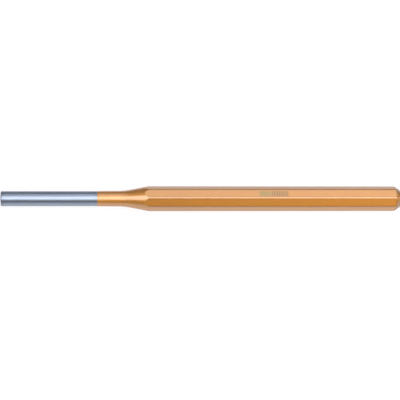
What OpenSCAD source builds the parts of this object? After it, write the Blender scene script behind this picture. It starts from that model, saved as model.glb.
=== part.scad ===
/* [Overall] */
// Length from the working face to the crown of the struck end, lacquer included
overall_l = 210; // [180:1:260]

/* [Pin] */
// Diameter of the ground pin, a little under the 8 mm hole that it follows
pin_d = 7.8; // [5:0.1:9]
// Length of the pin that is ground bright, from the working face to the lacquer
pin_l = 49.5; // [30:0.5:60]
// Edge break round the working face
tip_chamfer = 0.4; // [0.1:0.1:1]

/* [Neck and flare] */
// Length of the neck, from the ground pin to where the flare's cone would meet it
neck_l = 14.2; // [12:0.2:30]
// How much thicker the neck is at the flare than at the ground pin, on the diameter
neck_taper = 0.14; // [0.1:0.02:0.4]
// Angle between the flare's cone and the axis, in degrees
flare_angle = 11; // [7:0.5:20]
// Radius of the hollow blend between the neck and the cone
flare_blend_r = 36; // [10:1:50]

/* [Shank] */
// Width across the flats of the octagonal steel bar
across_flats = 12; // [11:0.5:16]
// Radius rolled along each corner of the bar
corner_r = 1; // [0.4:0.1:1.6]

/* [Struck end] */
// Angle between the struck end's chamfer and the axis, in degrees
head_angle = 32; // [25:1:45]
// Radius where the chamfer meets the crown
crown_rim_r = 4.7; // [3.6:0.1:5.2]
// Radius of the crowned face that the hammer hits
crown_r = 18; // [12:1:40]

/* [Lacquer] */
// Thickness of the lacquer film
lacquer_t = 0.08; // [0.06:0.01:0.2]
// Thickness of the film at its front edge
lacquer_edge_t = 0.03; // [0.02:0.01:0.05]
// Length over which the film thins towards its front edge
lacquer_feather_l = 0.6; // [0.2:0.1:1.2]

/* [Hidden] */
$fn = 96;

bar_sides = 8;
side_angle = 360 / bar_sides;
corner_steps = 6;
blend_steps = 10;
// How far an outline runs past the surface that trims it
overrun = 1;

pin_r = pin_d / 2;
neck_r = pin_r + neck_taper / 2;
steel_l = overall_l - lacquer_t;
corner_centre_r = (across_flats / 2 - corner_r) / cos(side_angle / 2);
// Past this radius the turned outline lies outside the bar's corners and cuts nothing
turned_r = across_flats / 2 / cos(side_angle / 2) + overrun;

// Points of the outline are [radius, distance from the working face]
pin_end = [pin_r, pin_l];
blend_centre = [neck_r + flare_blend_r,
                pin_l + neck_l - flare_blend_r * tan(flare_angle / 2)];
crown_centre = [0, steel_l - crown_r];
crown_rim = crown_centre + [crown_rim_r, sqrt(pow(crown_r, 2) - pow(crown_rim_r, 2))];

function on_blend(grow, angle) =
    blend_centre + (flare_blend_r - grow) * [-cos(angle), sin(angle)];
// A point of the neck's taper at distance y from the working face
function on_neck(grow, y) =
    let (share = (y - pin_l) / (blend_centre.y - pin_l))
    [pin_r + share * (neck_r - pin_r) + grow, y];
// A point on the struck end's chamfer, with a film of thickness grow on it
function on_chamfer(grow) =
    crown_rim + grow * [cos(head_angle), sin(head_angle)];
// Where a cone through the point from, at that angle to the axis, has radius to_r
function cone_at_radius(from, angle, to_r) =
    [to_r, from.y + (to_r - from.x) / tan(angle)];
// Where it is at distance to_y from the working face
function cone_at_distance(from, angle, to_y) =
    [from.x + (to_y - from.y) * tan(angle), to_y];

// Half outline from the neck's blend to past the crown, with a film of thickness grow on it
function flare_to_head(grow) =
    let (end_y = steel_l + grow + overrun)
    [for (step = [0 : blend_steps]) on_blend(grow, step * flare_angle / blend_steps),
     cone_at_radius(on_blend(grow, flare_angle), flare_angle, turned_r),
     cone_at_radius(on_chamfer(grow), -head_angle, turned_r),
     cone_at_distance(on_chamfer(grow), -head_angle, end_y),
     [0, end_y]];

// Solid turned along the X axis from a half outline
module turned(outline) {
    rotate([0, 90, 0])
        rotate_extrude()
            polygon(outline);
}

// Octagonal bar with rolled corners, two flats level, with a film of thickness grow on it
module octagonal_bar(grow) {
    rotate([0, 90, 0])
        translate([0, 0, -overrun])
            linear_extrude(overall_l + 2 * overrun)
                polygon([for (corner = [0 : bar_sides - 1], step = [0 : corner_steps])
                    let (middle = (corner + 1 / 2) * side_angle,
                         turn = (corner + step / corner_steps) * side_angle)
                    corner_centre_r * [cos(middle), sin(middle)]
                        + (corner_r + grow) * [cos(turn), sin(turn)]]);
}

// What the crowned face takes off the end of the bar
module above_crown(grow) {
    rotate([0, 90, 0])
        rotate_extrude()
            translate(crown_centre)
                difference() {
                    square([turned_r, crown_r + grow + 2 * overrun]);
                    circle(r = crown_r + grow);
                }
}

// Neck, flare, bar, chamfer and crown: front holds the outline's points ahead of the blend
module forging(front, grow) {
    difference() {
        intersection() {
            turned(concat(front, flare_to_head(grow)));
            octagonal_bar(grow);
        }
        above_crown(grow);
    }
}

// Working end of the forging, ground to size and left bright
module ground_pin() {
    color("lightsteelblue")
        turned([[0, 0],
                [pin_r - tip_chamfer, 0],
                [pin_r, tip_chamfer],
                pin_end,
                [0, pin_l]]);
}

// The rest of the forging: tapered neck, flare, octagonal shank and struck end
module forged_shank() {
    color("dimgray")
        forging([[0, pin_l], pin_end], 0);
}

// Lacquer film on everything behind the bright pin
module lacquer_coat() {
    color("peru")
        difference() {
            forging([[0, pin_l],
                     pin_end + [lacquer_edge_t, 0],
                     on_neck(lacquer_t, pin_l + lacquer_feather_l)],
                    lacquer_t);
            forging([[0, pin_l - overrun], pin_end - [0, overrun], pin_end], 0);
        }
}

ground_pin();
forged_shank();
lacquer_coat();
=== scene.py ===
import math

import bpy
from mathutils import Matrix, Vector


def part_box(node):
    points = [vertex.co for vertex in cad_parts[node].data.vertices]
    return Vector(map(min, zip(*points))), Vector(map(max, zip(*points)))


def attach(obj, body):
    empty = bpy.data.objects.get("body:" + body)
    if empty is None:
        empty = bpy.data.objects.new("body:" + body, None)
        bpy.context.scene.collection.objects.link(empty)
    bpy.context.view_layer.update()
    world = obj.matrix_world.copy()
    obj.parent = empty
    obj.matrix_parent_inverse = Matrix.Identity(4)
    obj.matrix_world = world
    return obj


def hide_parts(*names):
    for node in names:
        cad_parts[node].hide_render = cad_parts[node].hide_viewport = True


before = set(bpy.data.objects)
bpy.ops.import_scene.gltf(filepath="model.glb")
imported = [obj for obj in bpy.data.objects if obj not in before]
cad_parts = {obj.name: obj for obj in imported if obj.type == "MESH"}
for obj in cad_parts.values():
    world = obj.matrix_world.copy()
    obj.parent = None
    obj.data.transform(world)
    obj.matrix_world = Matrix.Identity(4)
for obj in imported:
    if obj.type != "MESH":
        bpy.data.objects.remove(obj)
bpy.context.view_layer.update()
print("frame loaded:", ", ".join(sorted(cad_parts)))

mm = 0.001
quarterTurn = math.radians(90)
samePlace = 0.001 * mm         # points closer than this count as one place
weldDistance = 0.0005 * mm

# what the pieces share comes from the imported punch
pinLow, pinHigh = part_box("ground_pin")
_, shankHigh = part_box("forged_shank")
coatLow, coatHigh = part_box("lacquer_coat")
tipX, pinEndX, crownX = pinLow.x, pinHigh.x, coatHigh.x
pinRadius = pinHigh.z
filmThickness = coatHigh.z - shankHigh.z
restZ = coatLow.z


# camera at the photograph's angle

cameraValues = {
    "elevation": math.radians(63.7),
    "distance": 700 * mm,
    "oppositeX": 34 * mm,          # place along the punch that the camera stands opposite to
    "middleX": 103.25 * mm,        # place along the punch in the middle of the picture
    "axisAboveMiddle": 0.7 * mm,
    "fieldWidth": 209.25 * mm,
    "sensor": 36,                  # mm
}


def addCamera(values):
    rise = values["elevation"]
    towardCamera = Vector((0, -math.cos(rise), math.sin(rise)))
    imageUp = Vector((0, math.sin(rise), math.cos(rise)))
    lift = imageUp * values["axisAboveMiddle"]
    aim = Vector((values["middleX"], 0, 0)) - lift
    place = Vector((values["oppositeX"], 0, 0)) + towardCamera * values["distance"] - lift
    back = (place - aim).normalized()
    camera = bpy.data.objects.new("camera", bpy.data.cameras.new("camera"))
    camera.data.lens = values["sensor"] * (place - aim).length / values["fieldWidth"]
    camera.data.sensor_width = values["sensor"]
    camera.location = place
    camera.rotation_euler = Matrix((imageUp.cross(back), imageUp, back)).transposed().to_euler()
    bpy.context.collection.objects.link(camera)
    bpy.context.scene.camera = camera


addCamera(cameraValues)
bpy.context.scene.view_settings.view_transform = "Standard"
print("camera placed")


# modelling helpers

def deselectAll():
    bpy.ops.object.select_all(action="DESELECT")


def makeActive(piece):
    deselectAll()
    piece.select_set(True)
    bpy.context.view_layer.objects.active = piece


def nameNewPiece(name):
    piece = bpy.context.object
    piece.name = name
    piece.data.name = name
    bpy.ops.object.transform_apply(location=True, rotation=True, scale=True)
    return piece


def pickEdges(piece, wanted):
    # leaves the piece in edit mode with only the wanted edges picked
    bpy.ops.object.mode_set(mode="EDIT")
    bpy.ops.mesh.select_mode(type="EDGE")
    bpy.ops.mesh.select_all(action="DESELECT")
    bpy.ops.object.mode_set(mode="OBJECT")
    points = [vertex.co for vertex in piece.data.vertices]
    for edge in piece.data.edges:
        edge.select = wanted(points[edge.vertices[0]], points[edge.vertices[1]])
    bpy.ops.object.mode_set(mode="EDIT")


def closeAndTurnOutward(piece):
    makeActive(piece)
    bpy.ops.object.mode_set(mode="EDIT")
    bpy.ops.mesh.select_all(action="SELECT")
    bpy.ops.mesh.remove_doubles(threshold=weldDistance)
    bpy.ops.mesh.normals_make_consistent(inside=False)
    bpy.ops.object.mode_set(mode="OBJECT")


def turnSolid(name, rings, sides):
    # a disc is extruded and resized from ring to ring, as [place along the punch, radius]
    deselectAll()
    place, radius = rings[0]
    bpy.ops.mesh.primitive_circle_add(vertices=sides, radius=radius, fill_type="NGON",
                                      location=(place, 0, 0), rotation=(0, quarterTurn, 0))
    piece = nameNewPiece(name)
    bpy.ops.object.mode_set(mode="EDIT")
    bpy.ops.mesh.select_mode(type="FACE")
    bpy.ops.mesh.select_all(action="SELECT")
    for nextPlace, nextRadius in rings[1:]:
        bpy.ops.mesh.extrude_region_move(
            TRANSFORM_OT_translate={"value": (nextPlace - place, 0, 0)})
        growth = nextRadius / radius
        bpy.ops.transform.resize(value=(1, growth, growth), center_override=(nextPlace, 0, 0))
        place, radius = nextPlace, nextRadius
    bpy.ops.object.mode_set(mode="OBJECT")
    closeAndTurnOutward(piece)
    return piece


def combine(piece, other, operation):
    makeActive(piece)
    cut = piece.modifiers.new(operation.lower(), "BOOLEAN")
    cut.operation = operation
    cut.solver = "EXACT"
    cut.object = other
    bpy.ops.object.modifier_apply(modifier=cut.name)
    bpy.data.objects.remove(other)
    closeAndTurnOutward(piece)


def shade(piece, angle):
    makeActive(piece)
    bpy.ops.object.shade_smooth_by_angle(angle=angle)
    flatten = piece.modifiers.new("flatten", "WEIGHTED_NORMAL")
    flatten.keep_sharp = True
    bpy.ops.object.modifier_apply(modifier=flatten.name)


# forging, the shape that the steel and the film over it share

forgingValues = {
    "neckTaper": 0.14 * mm,        # on the diameter, from the pin to the flare
    "neckLength": 14.2 * mm,       # from the pin to where the flare's cone would meet it
    "flareAngle": math.radians(11),
    "flareBlendRadius": 36 * mm,
    "flareSteps": 24,
    "cornerRadius": 1 * mm,
    "cornerSteps": 12,
    "headAngle": math.radians(32),
    "crownRimRadius": 4.7 * mm,
    "crownRadius": 18 * mm,
    "crownSteps": 14,
    "sides": 192,
    "barSides": 8,
    "overrun": 1 * mm,             # how far a shape runs past what trims it
}


def crownRim(values, grow):
    # where the chamfer's line meets the crown's circle, from the middle of that circle
    headAngle = values["headAngle"]
    crownRadius = values["crownRadius"]
    steelRim = values["crownRimRadius"]
    steelRimX = math.sqrt(crownRadius ** 2 - steelRim ** 2)
    onChamfer = Vector((steelRimX + grow * math.sin(headAngle),
                        steelRim + grow * math.cos(headAngle)))
    along = Vector((math.cos(headAngle), -math.sin(headAngle)))
    back = onChamfer.dot(along)
    reach = math.sqrt(back ** 2 - onChamfer.length_squared + (crownRadius + grow) ** 2) - back
    return onChamfer + along * reach


def forgingRings(values, frontRings, grow):
    # neck, hollow blend, cone, past the corners, chamfer and crown, with a film of grow on them
    flareAngle = values["flareAngle"]
    blendRadius = values["flareBlendRadius"]
    blendX = pinEndX + values["neckLength"] - blendRadius * math.tan(flareAngle / 2)
    blendAxisDistance = pinRadius + values["neckTaper"] / 2 + blendRadius
    rings = list(frontRings)
    for step in range(values["flareSteps"] + 1):
        turn = flareAngle * step / values["flareSteps"]
        rings.append((blendX + (blendRadius - grow) * math.sin(turn),
                      blendAxisDistance - (blendRadius - grow) * math.cos(turn)))

    coneX, coneRadius = rings[-1]
    pastCorners = shankHigh.z / math.cos(math.pi / values["barSides"]) + values["overrun"]
    rings.append((coneX + (pastCorners - coneRadius) / math.tan(flareAngle), pastCorners))

    crownCentre = crownX - filmThickness - values["crownRadius"]
    rim = crownRim(values, grow)
    chamferStart = crownCentre + rim.x - (pastCorners - rim.y) / math.tan(values["headAngle"])
    rings.append((chamferStart, pastCorners))

    crownRadius = values["crownRadius"] + grow
    rimTurn = math.asin(rim.y / crownRadius)
    for step in range(values["crownSteps"]):
        turn = rimTurn * (1 - step / values["crownSteps"])
        rings.append((crownCentre + crownRadius * math.cos(turn), crownRadius * math.sin(turn)))
    return rings


def closeCrown(piece, poleX):
    # the last small disc of the crown is drawn together at its middle
    makeActive(piece)
    lastX = max(vertex.co.x for vertex in piece.data.vertices)
    pickEdges(piece, lambda a, b: min(a.x, b.x) > lastX - samePlace)
    bpy.ops.mesh.merge(type="CENTER")
    bpy.ops.transform.translate(value=(poleX - lastX, 0, 0))
    bpy.ops.object.mode_set(mode="OBJECT")


def makeBar(name, values, grow):
    # octagonal bar with two flats level, its long edges rolled round
    halfFlats = shankHigh.z + grow
    halfCorner = math.pi / values["barSides"]
    startX = pinEndX - 2 * values["overrun"]
    length = crownX - startX + 2 * values["overrun"]
    deselectAll()
    bpy.ops.mesh.primitive_cylinder_add(vertices=values["barSides"],
                                        radius=halfFlats / math.cos(halfCorner), depth=length)
    bar = nameNewPiece(name)
    bpy.ops.object.mode_set(mode="EDIT")
    bpy.ops.mesh.select_all(action="SELECT")
    bpy.ops.transform.rotate(value=halfCorner, orient_axis="Z", center_override=(0, 0, 0))
    bpy.ops.transform.rotate(value=quarterTurn, orient_axis="Y", center_override=(0, 0, 0))
    bpy.ops.transform.translate(value=(startX + length / 2, 0, 0))
    bpy.ops.object.mode_set(mode="OBJECT")
    pickEdges(bar, lambda a, b: abs(a.x - b.x) > length / 2)
    bpy.ops.mesh.bevel(offset=(values["cornerRadius"] + grow) * math.tan(halfCorner),
                       segments=values["cornerSteps"], affect="EDGES")
    bpy.ops.object.mode_set(mode="OBJECT")
    return bar


def makeForging(name, values, frontRings, grow):
    solid = turnSolid(name, forgingRings(values, frontRings, grow), values["sides"])
    closeCrown(solid, crownX - filmThickness + grow)
    combine(solid, makeBar(name + "Bar", values, grow), "INTERSECT")
    return solid


# ground pin, bare steel

pinValues = {
    "edgeBreak": 0.4 * mm,
    "edgeSoftening": 0.06 * mm,
    "softeningSegments": 3,
    "sides": 192,
    "smoothAngle": math.radians(20),
}


def makeGroundPin(values):
    deselectAll()
    bpy.ops.mesh.primitive_cylinder_add(vertices=values["sides"], radius=pinRadius,
                                        depth=pinEndX - tipX,
                                        location=((tipX + pinEndX) / 2, 0, 0),
                                        rotation=(0, quarterTurn, 0))
    pin = nameNewPiece("groundPin")
    pickEdges(pin, lambda a, b: max(a.x, b.x) < tipX + samePlace)
    bpy.ops.mesh.bevel(offset=values["edgeBreak"], segments=1, affect="EDGES")
    bpy.ops.object.mode_set(mode="OBJECT")
    breakEndX = tipX + values["edgeBreak"] + samePlace

    def onBreak(a, b):
        return abs(a.x - b.x) < samePlace and max(a.x, b.x) < breakEndX

    pickEdges(pin, onBreak)
    bpy.ops.mesh.bevel(offset=values["edgeSoftening"], segments=values["softeningSegments"],
                       affect="EDGES")
    bpy.ops.object.mode_set(mode="OBJECT")
    closeAndTurnOutward(pin)
    shade(pin, values["smoothAngle"])
    return pin


groundPin = makeGroundPin(pinValues)
print("ground pin:", len(groundPin.data.polygons), "faces")


# lacquer film, a closed skin over everything behind the bright pin

filmValues = {
    "edgeThickness": 0.03 * mm,    # where it ends at the pin
    "featherLength": 0.6 * mm,     # from there to its full thickness
    "edgeRounding": 0.1 * mm,
    "roundingSegments": 3,
    "creaseAngle": math.radians(30),
    "smoothAngle": math.radians(8),
}


def makeLacquerFilm(values):
    steelFront = [(pinEndX - forgingValues["overrun"], pinRadius), (pinEndX, pinRadius)]
    filmFront = [(pinEndX, pinRadius + values["edgeThickness"]),
                 (pinEndX + values["featherLength"], pinRadius + filmThickness)]
    film = makeForging("lacquerFilm", forgingValues, filmFront, filmThickness)
    makeActive(film)
    rounding = film.modifiers.new("rounding", "BEVEL")
    rounding.width = values["edgeRounding"]
    rounding.segments = values["roundingSegments"]
    rounding.limit_method = "ANGLE"
    rounding.angle_limit = values["creaseAngle"]
    rounding.use_clamp_overlap = False
    bpy.ops.object.modifier_apply(modifier=rounding.name)
    combine(film, makeForging("filmInside", forgingValues, steelFront, 0), "DIFFERENCE")
    return film


# plain etched field and strokes in the top flat, only skin deep in the film
etchValues = {
    "depth": 0.02 * mm,
    "towardFront": 0.15 * mm,      # from the middle of the flat
    "fieldStart": 133.9 * mm,
    "fieldLength": 6.3 * mm,
    "fieldWidth": 3.1 * mm,
    "firstStroke": 140.6 * mm,
    "strokeStep": 0.88 * mm,
    "strokeCount": 10,
    "strokeLength": 3 * mm,
    "strokeWidth": 0.5 * mm,
}


def addEtchBox(startX, length, width, values):
    deselectAll()
    bpy.ops.mesh.primitive_cube_add(size=1, location=(startX + length / 2,
                                                      -values["towardFront"], coatHigh.z))
    bpy.ops.transform.resize(value=(length, width, 2 * values["depth"]))
    return nameNewPiece("etchBox")


def cutEtching(film, values):
    boxes = [addEtchBox(values["fieldStart"], values["fieldLength"], values["fieldWidth"], values)]
    for count in range(values["strokeCount"]):
        startX = values["firstStroke"] + count * values["strokeStep"]
        boxes.append(addEtchBox(startX, values["strokeWidth"], values["strokeLength"], values))
    deselectAll()
    for box in boxes:
        box.select_set(True)
    bpy.context.view_layer.objects.active = boxes[0]
    bpy.ops.object.join()
    combine(film, boxes[0], "DIFFERENCE")


lacquerFilm = makeLacquerFilm(filmValues)
cutEtching(lacquerFilm, etchValues)
shade(lacquerFilm, filmValues["smoothAngle"])
print("lacquer film:", len(lacquerFilm.data.polygons), "faces")


# materials

noiseSpan = (0.3, 0.7)         # most of a noise lies between these values
fullSpan = (0, 1)


def startMaterial(name):
    material = bpy.data.materials.new(name)
    material.use_nodes = True
    tree = material.node_tree
    return material, tree, tree.nodes["Principled BSDF"]


def addNode(tree, kind, **settings):
    node = tree.nodes.new(kind)
    for key, value in settings.items():
        setattr(node, key, value)
    return node


def setInputs(node, settings):
    for name, value in settings.items():
        node.inputs[name].default_value = value


def stretchedNoise(tree, stretch, detail):
    # noise on the piece's own coordinates, stretch is its count per metre along X, Y and Z
    place = addNode(tree, "ShaderNodeTexCoord")
    mapping = addNode(tree, "ShaderNodeMapping")
    noise = addNode(tree, "ShaderNodeTexNoise")
    setInputs(mapping, {"Scale": stretch})
    setInputs(noise, {"Scale": 1, "Detail": detail})
    tree.links.new(place.outputs["Object"], mapping.inputs["Vector"])
    tree.links.new(mapping.outputs["Vector"], noise.inputs["Vector"])
    return noise.outputs["Fac"]


def distanceFromAxis(tree):
    place = addNode(tree, "ShaderNodeTexCoord")
    across = addNode(tree, "ShaderNodeVectorMath", operation="MULTIPLY")
    across.inputs[1].default_value = (0, 1, 1)
    length = addNode(tree, "ShaderNodeVectorMath", operation="LENGTH")
    tree.links.new(place.outputs["Object"], across.inputs[0])
    tree.links.new(across.outputs["Vector"], length.inputs[0])
    return length.outputs["Value"]


def distanceAlong(tree):
    place = addNode(tree, "ShaderNodeTexCoord")
    split = addNode(tree, "ShaderNodeSeparateXYZ")
    tree.links.new(place.outputs["Object"], split.inputs[0])
    return split.outputs["X"]


def remap(tree, source, fromSpan, toSpan):
    node = addNode(tree, "ShaderNodeMapRange")
    setInputs(node, {"From Min": fromSpan[0], "From Max": fromSpan[1],
                     "To Min": toSpan[0], "To Max": toSpan[1]})
    tree.links.new(source, node.inputs["Value"])
    return node.outputs["Result"]


def blendColours(tree, share, first, second, mode="MIX"):
    node = addNode(tree, "ShaderNodeMix", data_type="RGBA", blend_type=mode)
    for socket, value in (("Factor", share), ("A", first), ("B", second)):
        entry = [i for i in node.inputs if i.name == socket and i.enabled][0]
        if isinstance(value, tuple):
            entry.default_value = value
        else:
            tree.links.new(value, entry)
    return [o for o in node.outputs if o.name == "Result" and o.enabled][0]


def bump(tree, height, distance, strength):
    node = addNode(tree, "ShaderNodeBump")
    setInputs(node, {"Distance": distance, "Strength": strength})
    tree.links.new(height, node.inputs["Height"])
    return node.outputs["Normal"]


def dress(piece, material):
    piece.data.materials.clear()
    piece.data.materials.append(material)


# bright pin, with fine rings left by the grinding wheel
groundSteelValues = {
    "light": (0.32, 0.375, 0.465, 1),
    "dark": (0.3, 0.35, 0.435, 1),
    "patchStretch": (160, 420, 420),
    "ringStretch": (5200, 45, 45),
    "noiseDetail": 3,
    "roughness": (0.34, 0.395),
    "ringDepth": 0.002 * mm,
    "ringStrength": 0.6,
    "tipTint": (0.78, 0.78, 0.80, 1),   # the steel is darker next to the tip
    "tipLength": 2.4 * mm,
}


def makeGroundSteel(values):
    material, tree, shader = startMaterial("groundSteel")
    rings = stretchedNoise(tree, values["ringStretch"], values["noiseDetail"])
    patches = stretchedNoise(tree, values["patchStretch"], values["noiseDetail"])
    tint = blendColours(tree, remap(tree, patches, noiseSpan, fullSpan),
                        values["light"], values["dark"])
    nearTip = remap(tree, distanceAlong(tree), (tipX, tipX + values["tipLength"]), (1, 0))
    tint = blendColours(tree, nearTip, tint, values["tipTint"], mode="MULTIPLY")
    tree.links.new(tint, shader.inputs["Base Color"])
    tree.links.new(remap(tree, rings, noiseSpan, values["roughness"]), shader.inputs["Roughness"])
    tree.links.new(bump(tree, rings, values["ringDepth"], values["ringStrength"]),
                   shader.inputs["Normal"])
    setInputs(shader, {"Metallic": 1})
    return material


# copper-coloured lacquer, with soft clouds, fine flakes, a slight orange peel and painted shade
# along its rolled corners
lacquerValues = {
    "colour": (0.545, 0.252, 0.009, 1),
    "deep": (0.52, 0.24, 0.006, 1),     # in the clouds
    "thin": (0.6, 0.32, 0.035, 1),      # on the flakes
    "cloudStretch": (90, 260, 260),
    "cloudDetail": 3,
    "flakeStretch": (5000, 5000, 5000),
    "flakeDetail": 1,
    "flakeSpan": (0.62, 0.75),
    "flakeShare": 0.5,
    # painted shade, darkening the rolled corners
    "paintedCornerShade": (0.78, 0.78, 0.78, 1),
    "cornerShadeSpan": (6.235 * mm, 6.42 * mm),  # from the axis, where painted shade darkens the corners
    "metallic": 0.95,
    "roughness": (0.56, 0.61),
    "specularTint": (0.55, 0.5, 0.67, 1),
    "coatWeight": 1,
    "coatRoughness": 0.255,
    "coatIor": 2.25,
    "coatTint": (1, 0.92, 0.96, 1),
    "peelStretch": (700, 1100, 1100),
    "peelDetail": 2,
    "peelDepth": 0.004 * mm,
    "peelStrength": 0.5,
}


def makeCopperLacquer(name, values):
    material, tree, shader = startMaterial(name)
    clouds = stretchedNoise(tree, values["cloudStretch"], values["cloudDetail"])
    flakes = stretchedNoise(tree, values["flakeStretch"], values["flakeDetail"])
    peel = stretchedNoise(tree, values["peelStretch"], values["peelDetail"])
    body = blendColours(tree, remap(tree, clouds, noiseSpan, fullSpan),
                        values["colour"], values["deep"])
    body = blendColours(tree, remap(tree, flakes, values["flakeSpan"], (0, values["flakeShare"])),
                        body, values["thin"])
    # painted shade: the lacquer is darkened towards the outer edge of each rolled corner
    corners = remap(tree, distanceFromAxis(tree), values["cornerShadeSpan"], fullSpan)
    body = blendColours(tree, corners, body, values["paintedCornerShade"], mode="MULTIPLY")
    tree.links.new(body, shader.inputs["Base Color"])
    tree.links.new(remap(tree, clouds, noiseSpan, values["roughness"]),
                   shader.inputs["Roughness"])
    relief = bump(tree, peel, values["peelDepth"], values["peelStrength"])
    tree.links.new(relief, shader.inputs["Normal"])
    tree.links.new(relief, shader.inputs["Coat Normal"])
    setInputs(shader, {"Metallic": values["metallic"], "Specular Tint": values["specularTint"],
                       "Coat Weight": values["coatWeight"],
                       "Coat Roughness": values["coatRoughness"],
                       "Coat IOR": values["coatIor"], "Coat Tint": values["coatTint"]})
    return material


# forging under the film, dark with scale
forgedSteelValues = {
    "dark": (0.20, 0.20, 0.215, 1),
    "light": (0.33, 0.33, 0.34, 1),
    "scaleStretch": (260, 900, 900),
    "scaleDetail": 5,
    "scaleSpan": (0.35, 0.65),
    "roughness": (0.42, 0.6),
    "scaleDepth": 0.02 * mm,
    "scaleStrength": 0.6,
}


def makeForgedSteel(values):
    material, tree, shader = startMaterial("forgedSteel")
    scale = stretchedNoise(tree, values["scaleStretch"], values["scaleDetail"])
    tint = blendColours(tree, remap(tree, scale, values["scaleSpan"], fullSpan),
                        values["dark"], values["light"])
    tree.links.new(tint, shader.inputs["Base Color"])
    tree.links.new(remap(tree, scale, noiseSpan, values["roughness"]), shader.inputs["Roughness"])
    tree.links.new(bump(tree, scale, values["scaleDepth"], values["scaleStrength"]),
                   shader.inputs["Normal"])
    setInputs(shader, {"Metallic": 1})
    return material


# patches of the film with a colour of their own: the etched print, and painted shade over the
# struck end
patchValues = {
    "struckEndShadeLength": 3.5 * mm,
    "finishes": {              # for each patch, only what differs from lacquerValues
        "etchedField": {"colour": (0.37, 0.24, 0.011, 1), "deep": (0.32, 0.21, 0.009, 1),
                        "thin": (0.41, 0.28, 0.03, 1)},
        "etchedStroke": {"colour": (0.2, 0.135, 0.01, 1), "deep": (0.17, 0.115, 0.008, 1),
                         "thin": (0.28, 0.18, 0.02, 1), "coatWeight": 0.9},
        # painted shade, darkening the chamfer and crown
        "struckEndPaintedShade": {"colour": (0.31, 0.155, 0.007, 1), "deep": (0.29, 0.145, 0.005, 1),
                      "thin": (0.34, 0.19, 0.02, 1)},
    },
}


def dressPatches(film, etching, values):
    slots = {}
    for name, finish in values["finishes"].items():
        slots[name] = len(film.data.materials)
        film.data.materials.append(makeCopperLacquer(name, {**lacquerValues, **finish}))
    floorZ = coatHigh.z - etching["depth"]
    fieldEnd = etching["fieldStart"] + etching["fieldLength"]
    for face in film.data.polygons:
        # painted shade over the last stretch of the struck end
        if face.center.x > crownX - values["struckEndShadeLength"]:
            face.material_index = slots["struckEndPaintedShade"]
        elif abs(face.center.z - floorZ) < samePlace:
            etched = "etchedField" if face.center.x < fieldEnd else "etchedStroke"
            face.material_index = slots[etched]


dress(groundPin, makeGroundSteel(groundSteelValues))
dress(lacquerFilm, makeCopperLacquer("copperLacquer", lacquerValues))
dressPatches(lacquerFilm, etchValues, patchValues)
dress(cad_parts["forged_shank"], makeForgedSteel(forgedSteelValues))
print("materials made")


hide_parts("ground_pin")
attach(groundPin, "root")
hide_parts("lacquer_coat")
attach(lacquerFilm, "root")


# studio

studioValues = {
    "floorColour": (0.89, 0.89, 0.89, 1),
    "floorGlow": 0.885,            # share of glow in the floor, where it is seen
    "floorSize": 60,               # m
    "floorDrop": 0.02 * mm,        # under the lowest flat
    "roomColour": (0.153, 0.153, 0.175, 1),
}


def addFloor(values):
    deselectAll()
    bpy.ops.mesh.primitive_plane_add(size=values["floorSize"],
                                     location=(crownX / 2, 0, restZ - values["floorDrop"]))
    floor = bpy.context.object
    floor.name = "floor"
    material, tree, shader = startMaterial("paleFloor")
    setInputs(shader, {"Base Color": values["floorColour"], "Roughness": 1,
                       "Specular IOR Level": 0})
    # seen directly or in a reflection, the floor is part glow, which keeps it white
    path = addNode(tree, "ShaderNodeLightPath")
    seen = path.outputs["Is Camera Ray"]
    for ray in ("Is Glossy Ray", "Is Transmission Ray"):
        either = addNode(tree, "ShaderNodeMath", operation="MAXIMUM")
        tree.links.new(seen, either.inputs[0])
        tree.links.new(path.outputs[ray], either.inputs[1])
        seen = either.outputs[0]
    share = addNode(tree, "ShaderNodeMath", operation="MULTIPLY")
    share.inputs[1].default_value = values["floorGlow"]
    tree.links.new(seen, share.inputs[0])
    glow = addNode(tree, "ShaderNodeEmission")
    mix = addNode(tree, "ShaderNodeMixShader")
    tree.links.new(share.outputs[0], mix.inputs[0])
    tree.links.new(shader.outputs[0], mix.inputs[1])
    tree.links.new(glow.outputs[0], mix.inputs[2])
    tree.links.new(mix.outputs[0], tree.nodes["Material Output"].inputs["Surface"])
    dress(floor, material)


# a lamp's angle goes from the front horizon over the top to the back horizon, lengths are in m
lampValues = {
    "topSoftbox": {"angle": math.radians(73.2), "distance": 0.9, "middleX": 0.29, "aimX": 0.29,
                   "width": 3.3, "depth": 0.763, "radiance": 2.55, "colour": (1, 1, 1)},
    "backSoftbox": {"angle": math.radians(121.8), "distance": 1, "middleX": 0.45, "aimX": 0.45,
                    "width": 1.1, "depth": 0.7, "radiance": 1.11, "colour": (1, 1, 1)},
    "warmFill": {"angle": math.radians(65), "distance": 0.9, "middleX": 0.98, "aimX": 0.15,
                 "width": 1, "depth": 1, "radiance": 5.4, "colour": (1, 0.75, 0.6)},
}


def addSoftbox(name, values):
    lamp = bpy.data.lights.new(name, "AREA")
    lamp.shape = "RECTANGLE"
    lamp.size = values["width"]
    lamp.size_y = values["depth"]
    lamp.energy = values["radiance"] * math.pi * values["width"] * values["depth"]
    lamp.color = values["colour"]
    softbox = bpy.data.objects.new(name, lamp)
    rise = Vector((0, -math.cos(values["angle"]), math.sin(values["angle"])))
    softbox.location = Vector((values["middleX"], 0, 0)) + rise * values["distance"]
    toward = softbox.location - Vector((values["aimX"], 0, 0))
    softbox.rotation_euler = toward.to_track_quat("Z", "Y").to_euler()
    softbox.visible_camera = False
    bpy.context.collection.objects.link(softbox)


def lightRoom(values):
    world = bpy.data.worlds.new("studioRoom")
    bpy.context.scene.world = world
    world.use_nodes = True
    setInputs(world.node_tree.nodes["Background"], {"Color": values["roomColour"]})


addFloor(studioValues)
for lampName, settings in lampValues.items():
    addSoftbox(lampName, settings)
lightRoom(studioValues)
print("studio lit")
